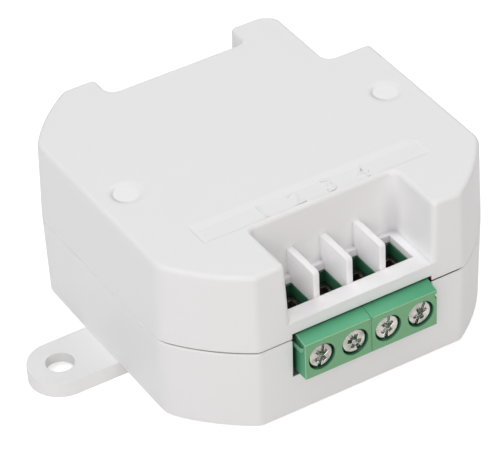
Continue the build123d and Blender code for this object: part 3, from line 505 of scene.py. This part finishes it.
# painted highlight on each mark's disc, and painted shade in its crease on the left side
for x, y in casingLook["markCentres"]:
    mark = placeGroup(tree, markLightAndShade, Centre=(x, y, 0.0), Radius=casingLook["markRadius"])
    tint(tree, shader, mark["LitDisc"], casingLook["markLitDisc"])
    tint(tree, shader, mark["ShadedCrease"], casingLook["markShadedCrease"])
# painted shade in the recess's corners
deepen(tree, shader, **casingLook["corners"])
# painted shade in seams and slits
deepen(tree, shader, **casingLook["gapPaintedShade"])
# painted shade in three boxes: the far corner of the recess, the port and the gaping seam
for patch in ("farCorner", "port", "openSeam"):
    tintWithin(tree, shader, **casingLook[patch])
dress(casingPlastic, "top_shell", "bottom_shell")

buttonLook = dict(
    casingLook, dark=paint(214, 215, 216), light=paint(219, 220, 221), grain=7000.0, roughness=(0.25, 0.38))
buttonPlastic, tree, shader = plasticMaterial("buttonPlastic", buttonLook)
dress(buttonPlastic, "pairing_button")
print("casing materials are made")


# Dividing fins, flush with the sides of the wire windows and rounded at their noses

finLook = {
    "centres": (-5.08 * mm, 0.0, 5.08 * mm),
    "thickness": 0.96 * mm,
    "front": -22.26 * mm,
    "back": -15.50 * mm,
    "foot": 16.19 * mm,
    "top": 21.22 * mm,
    "corner": 0.60 * mm,
    "cornerSteps": 8,
    "nose": 0.30 * mm,
    "noseSteps": 5,
    "crest": 0.10 * mm,
    "smoothUnder": 35,        # degrees
}
firstFin = newBlock(
    "terminalFin.1", x=(-finLook["thickness"] / 2, finLook["thickness"] / 2),
    y=(finLook["front"], finLook["back"]), z=(finLook["foot"], finLook["top"]))
selectEdges(firstFin, lambda end: end.y < finLook["front"] + hair and end.z > finLook["top"] - hair)
bpy.ops.mesh.bevel(offset=finLook["corner"], segments=finLook["cornerSteps"], affect="EDGES")
bpy.ops.object.mode_set(mode="OBJECT")

# the rounding is full on the nose and thins out along the crest
softness = firstFin.data.attributes.new("bevel_weight_edge", "FLOAT", "EDGE")
for line in firstFin.data.edges:
    first, second = (firstFin.data.vertices[end].co for end in line.vertices)
    middle = (first + second) / 2
    lengthwise = abs(first.x - second.x) < hair
    if lengthwise and middle.z > finLook["foot"] + hair and middle.y < finLook["back"] - hair:
        atTop = max(0.0, (middle.z - finLook["top"] + finLook["corner"]) / finLook["corner"])
        softness.data[line.index].value = 1.0 - atTop * (1.0 - finLook["crest"] / finLook["nose"])
rounding = firstFin.modifiers.new("noseAndCrest", "BEVEL")
rounding.limit_method = "WEIGHT"
rounding.width = finLook["nose"]
rounding.segments = finLook["noseSteps"]
bpy.ops.object.modifier_apply(modifier=rounding.name)
bpy.ops.object.shade_smooth_by_angle(angle=math.radians(finLook["smoothUnder"]))
firstFin.data.materials.append(casingPlastic)

fins = [firstFin]
for count in (2, 3):
    fin = firstFin.copy()
    fin.data = firstFin.data.copy()
    fin.name = "terminalFin.%d" % count
    scene.collection.objects.link(fin)
    fins.append(fin)
for fin, centre in zip(fins, finLook["centres"]):
    bpy.ops.object.select_all(action="DESELECT")
    fin.location.x = centre
    fin.select_set(True)
    bpy.context.view_layer.objects.active = fin
    bpy.ops.object.transform_apply(location=True, rotation=False, scale=False)
    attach(fin, "casing")
bpy.ops.object.select_all(action="DESELECT")
print("fins are rounded")


# Raised pole numbers in the label pocket

numberLook = {
    "height": 2.65 * mm,
    "capShare": 0.7,        # capitals fill about 0.7 of a line
    "relief": 0.10 * mm,
    "sunk": 0.05 * mm,
    "row": -13.6 * mm,
    "pocketFloor": 26.56 * mm,
    "softening": 0.03 * mm,
    "softeningSteps": 1,
    "curveSteps": 6,
}
poleCentres = [sum(corner.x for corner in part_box("terminal_screw_%d" % pole)) / 2 for pole in (1, 2, 3, 4)]

for pole, centre in enumerate(poleCentres, start=1):
    bpy.ops.object.select_all(action="DESELECT")
    bpy.ops.object.text_add(location=(0, 0, 0))
    number = bpy.context.object
    number.data.body = str(pole)
    number.data.align_x = "CENTER"
    number.data.align_y = "CENTER"
    number.data.size = numberLook["height"] / numberLook["capShare"]
    number.data.resolution_u = numberLook["curveSteps"]
    number.data.extrude = (numberLook["relief"] + numberLook["sunk"]) / 2 - numberLook["softening"]
    number.data.bevel_depth = numberLook["softening"]
    number.data.bevel_resolution = numberLook["softeningSteps"]
    bpy.ops.object.convert(target="MESH")
    number = bpy.context.object
    number.name = "poleNumber.%d" % pole
    rise = numberLook["pocketFloor"] + (numberLook["relief"] - numberLook["sunk"]) / 2
    bpy.ops.object.mode_set(mode="EDIT")
    bpy.ops.mesh.select_all(action="SELECT")
    bpy.ops.mesh.remove_doubles(threshold=hair)
    bpy.ops.mesh.normals_make_consistent(inside=False)
    bpy.ops.transform.translate(value=(centre, numberLook["row"], rise))
    bpy.ops.object.mode_set(mode="OBJECT")
    number.data.materials.clear()
    number.data.materials.append(casingPlastic)
    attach(number, "casing")
print("pole numbers stand in the label pocket")


# Terminal blocks

greenLook = {
    "dark": paint(76, 167, 122),
    "light": paint(86, 179, 133),
    "edge": paint(190, 240, 204),
    "edgeShare": 0.0,                    # only the outer edges, found below, get the painted highlight
    "edgeRadius": 0.19 * mm,
    "grain": 4200.0,
    "depth": 0.22,
    "patches": 260.0,
    "roughness": (0.34, 0.50),
    "face": paint(112, 168, 118),        # the front face is painted paler and yellower, for how the light falls on it
    "faceShare": 0.85,
    "faceSpan": (-26.97 * mm, -26.90 * mm),
    "insideEdges": {                     # the edges within the blocks get no painted highlight
        "low": (-9.95 * mm, -40.0 * mm, 0.0),
        "high": (10.05 * mm, -20.0 * mm, 14.30 * mm),
        "soft": (0.05 * mm,) * 3,
    },
    "blockJoint": {                      # nor are those where the two blocks meet
        "low": (-0.20 * mm, -40.0 * mm, 0.0),
        "high": (0.30 * mm, 0.0, 20.0 * mm),
        "soft": (0.02 * mm,) * 3,
    },
    # painted shade deep in the holes
    "hollowLightAndShade": {
        "colour": paint(9, 44, 30),
        "share": 0.92,
        "reach": 3.2 * mm,
        "levels": (0.93, 0.10),
    },
    "seam": {                            # painted shadow right under the casing's edge
        "colour": paint(12, 26, 20),
        "share": 0.85,
        "reach": 0.40 * mm,
        "levels": (0.66, 0.40),
        "above": 13.2 * mm,
    },
    "chambers": {                        # painted shade inside the cages' chambers
        "low": (-9.95 * mm, -23.80 * mm, 9.2 * mm),
        "high": (10.05 * mm, -16.60 * mm, 15.90 * mm),
        "soft": (0.05 * mm,) * 3,
        "colour": paint(9, 44, 30),
        "share": 0.50,
    },
    "farWalls": {                        # and more painted shade at their far walls
        "low": (-9.95 * mm, -16.76 * mm, 9.2 * mm),
        "high": (10.05 * mm, -16.60 * mm, 15.90 * mm),
        "soft": (0.05 * mm,) * 3,
        "colour": paint(9, 44, 30),
        "share": 0.60,
    },
}
terminalPlastic, tree, shader = plasticMaterial("terminalPlastic", greenLook)
# painted light: the front face coloured paler and yellower than the other faces
paintedFrontLight = spread(tree, ownAxes(tree)["Y"], 1.0, 0.0, *greenLook["faceSpan"])
tint(tree, shader, paintedFrontLight, greenLook["face"], greenLook["faceShare"])
outside = spread(tree, withinBox(tree, **greenLook["insideEdges"]), 1.0, 0.0)
apartFromJoint = spread(tree, withinBox(tree, **greenLook["blockJoint"]), 1.0, 0.0)
# painted highlight along the blocks' outer edges
highlightedRim = multiplied(tree, tree.nodes["softEdges"].outputs["Edge"], outside, apartFromJoint)
tint(tree, shader, highlightedRim, greenLook["edge"])
# painted shade deep in the holes
deepen(tree, shader, **greenLook["hollowLightAndShade"])
# painted shadow under the casing's edge
deepen(tree, shader, **greenLook["seam"])
# painted shade in the chambers and on their far walls
for patch in ("chambers", "farWalls"):
    tintWithin(tree, shader, **greenLook[patch])
dress(terminalPlastic, "terminal_housing_1", "terminal_housing_2")
print("terminal material is made")

# The rail that keys the two blocks together ends flush with their fronts
railLook = {"x": (-0.215 * mm, 0.075 * mm), "y": (-27.04 * mm, -26.70 * mm), "z": (13.485 * mm, 14.175 * mm)}
railTip = newBlock("railTip", **railLook)
railTip.data.materials.append(terminalPlastic)
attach(railTip, "casing")
bpy.ops.object.select_all(action="DESELECT")
print("rail tip is set")


# Metal parts of the terminals, the casing screws and the relay

nickelLook = {
    "dark": paint(138, 136, 130),
    "light": paint(183, 180, 173),
    "edge": paint(250, 248, 245),
    "edgeShare": 0.8,
    "edgeRadius": 0.10 * mm,
    "lines": (3600.0, 1800.0, 3600.0),
    "depth": 0.8,
    "roughness": (0.12, 0.28),
    # painted reflection: the cross recesses turned a pale green-grey
    "hollowLightAndShade": {"colour": paint(186, 204, 196), "share": 0.6, "reach": 0.8 * mm},
    "pitScale": 3000.0,                 # the pressed recesses are rough and full of flecks
    "pitDetail": 1.0,
    "pitDepth": 0.30 * mm,
    "pitShares": (0.04, 1.0),           # on the open faces, and inside the recesses
    "pitRoughness": 0.12,
}
nickelPlate, tree, shader = metalMaterial("nickelPlate", nickelLook)
# painted reflection in the cross recesses
deepen(tree, shader, **nickelLook["hollowLightAndShade"])
pressed = spread(tree, tree.nodes["hollows"].outputs["Shade"], *nickelLook["pitShares"])
pits = noiseOver(tree, ownPlace(tree), nickelLook["pitScale"], nickelLook["pitDetail"])
normal = shader.inputs["Normal"].links[0].from_socket
flecked = bumped(tree, multiplied(tree, pits, pressed), nickelLook["pitDepth"], normal)
tree.links.new(flecked, shader.inputs["Normal"])
gloss = shader.inputs["Roughness"].links[0].from_socket
rougher = calculated(tree, "MULTIPLY_ADD", pressed, nickelLook["pitRoughness"], gloss)
tree.links.new(rougher, shader.inputs["Roughness"])
dress(nickelPlate, "terminal_screw_1", "terminal_screw_2", "terminal_screw_3", "terminal_screw_4", "case_screws")

# what these looks don't say is as in the nickel's
metalLooks = {
    "cagePlate": {
        "wornBy": ["clamp_cage_1", "clamp_cage_2", "clamp_cage_3", "clamp_cage_4"],
        "dark": paint(150, 138, 124), "light": paint(188, 176, 158),
        "lines": (900.0, 5000.0, 900.0), "roughness": (0.26, 0.46),
        # painted shade in the cages' holes
        "hollowLightAndShade": {"colour": paint(38, 34, 30), "share": 0.85, "reach": 2.0 * mm},
    },
    "bareBrass": {
        "wornBy": ["contact_bar_1", "contact_bar_2", "contact_bar_3", "contact_bar_4",
                    "relay_reed", "relay_fixed_contacts"],
        "dark": paint(176, 138, 74), "light": paint(206, 170, 98), "edge": paint(232, 204, 140),
        "lines": (4000.0, 4000.0, 500.0), "roughness": (0.22, 0.40), "hollowLightAndShade": None,
    },
    "tinnedMetal": {
        "wornBy": ["relay_coil_pins", "radio_crystal", "antenna_coil"],
        "dark": paint(168, 170, 170), "light": paint(206, 208, 208), "edge": paint(232, 234, 234),
        "lines": (2500.0, 2500.0, 2500.0), "roughness": (0.26, 0.44), "hollowLightAndShade": None,
    },
    "softIron": {
        "wornBy": ["relay_yoke", "relay_armature"],
        "dark": paint(142, 142, 138), "light": paint(176, 176, 172), "edge": paint(206, 206, 202),
        "lines": (5000.0, 600.0, 5000.0), "roughness": (0.34, 0.52), "hollowLightAndShade": None,
    },
    "copperWinding": {
        "wornBy": ["relay_winding"],
        "dark": paint(150, 76, 34), "light": paint(196, 112, 56), "edge": paint(224, 150, 90),
        "lines": (300.0, 300.0, 9000.0), "depth": 0.9, "roughness": (0.22, 0.36), "hollowLightAndShade": None,
    },
}
for name, ownLook in metalLooks.items():
    material, tree, shader = metalMaterial(name, dict(nickelLook, **ownLook))
    # painted shade, or painted reflection, in the hollows where a look gives one
    if ownLook["hollowLightAndShade"]:
        deepen(tree, shader, **ownLook["hollowLightAndShade"])
    dress(material, *ownLook["wornBy"])
print("metal materials are made")


# Plastic and lacquered parts inside the casing

leadLook = {                 # whatever a soldered part has below the board's top is a tinned lead
    "low": (-40.0 * mm, -40.0 * mm, -40.0 * mm),
    "high": (40.0 * mm, 40.0 * mm, 9.08 * mm),
    "soft": (0.04 * mm,) * 3,
    "colour": paint(206, 205, 200),
}

# what these looks don't say is as in the casing's
plasticLooks = {
    "relayShell": {
        "wornBy": ["relay_cover"], "leads": False,
        "dark": paint(28, 82, 160), "light": paint(34, 92, 174), "edge": paint(92, 142, 210),
        "grain": 2600.0, "depth": 0.08, "roughness": (0.20, 0.32),
    },
    "varistorCoat": {
        "wornBy": ["varistor"], "leads": True,
        "dark": paint(24, 70, 140), "light": paint(38, 92, 166), "edge": paint(80, 130, 196),
        "grain": 1500.0, "depth": 0.5, "roughness": (0.24, 0.40),
    },
    "blackMoulding": {
        "wornBy": ["relay_base", "radio_chip", "controller_chip", "driver_parts", "chip_resistors",
                    "tact_switch", "tact_stem"], "leads": False,
        "dark": paint(34, 34, 35), "light": paint(46, 46, 47), "edge": paint(86, 86, 88),
        "grain": 3600.0, "depth": 0.35, "roughness": (0.46, 0.62),
    },
    "blackSoldered": {
        "wornBy": ["bridge_rectifier", "radio_header"], "leads": True,
        "dark": paint(34, 34, 35), "light": paint(46, 46, 47), "edge": paint(86, 86, 88),
        "grain": 3600.0, "depth": 0.35, "roughness": (0.46, 0.62),
    },
    "bobbinPlastic": {
        "wornBy": ["relay_bobbin"], "leads": False,
        "dark": paint(214, 212, 202), "light": paint(228, 226, 216), "grain": 3200.0,
    },
    "filmCapBox": {
        "wornBy": ["film_capacitor"], "leads": True,
        "dark": paint(206, 164, 44), "light": paint(222, 182, 60), "edge": paint(240, 212, 116),
        "grain": 2800.0, "roughness": (0.26, 0.40),
    },
    "capacitorSleeve": {
        "wornBy": ["reservoir_capacitor", "filter_capacitor"], "leads": True,
        "dark": paint(40, 44, 56), "light": paint(52, 57, 72), "edge": paint(120, 124, 136),
        "grain": 1800.0, "depth": 0.12, "roughness": (0.22, 0.36),
    },
    "resistorLacquer": {
        "wornBy": ["fuse_resistor"], "leads": True,
        "dark": paint(92, 116, 98), "light": paint(112, 136, 116), "edge": paint(150, 168, 150),
        "grain": 2200.0, "depth": 0.4, "roughness": (0.30, 0.48),
    },
    "solderResist": {
        "wornBy": ["circuit_board", "radio_board"], "leads": False,
        "dark": paint(18, 92, 52), "light": paint(30, 112, 66), "edge": paint(190, 180, 120),
        "edgeShare": 0.8, "edgeRadius": 0.08 * mm,
        "grain": 2400.0, "depth": 0.2, "patches": 420.0, "roughness": (0.22, 0.38),
    },
}
for name, ownLook in plasticLooks.items():
    material, tree, shader = plasticMaterial(name, dict(casingLook, **ownLook))
    if ownLook["leads"]:
        lead = withinBox(tree, leadLook["low"], leadLook["high"], leadLook["soft"])
        tint(tree, shader, lead, leadLook["colour"])
        tree.links.new(lead, shader.inputs["Metallic"])
    dress(material, *ownLook["wornBy"])
print("inner materials are made")


# End

print("scene is set up")
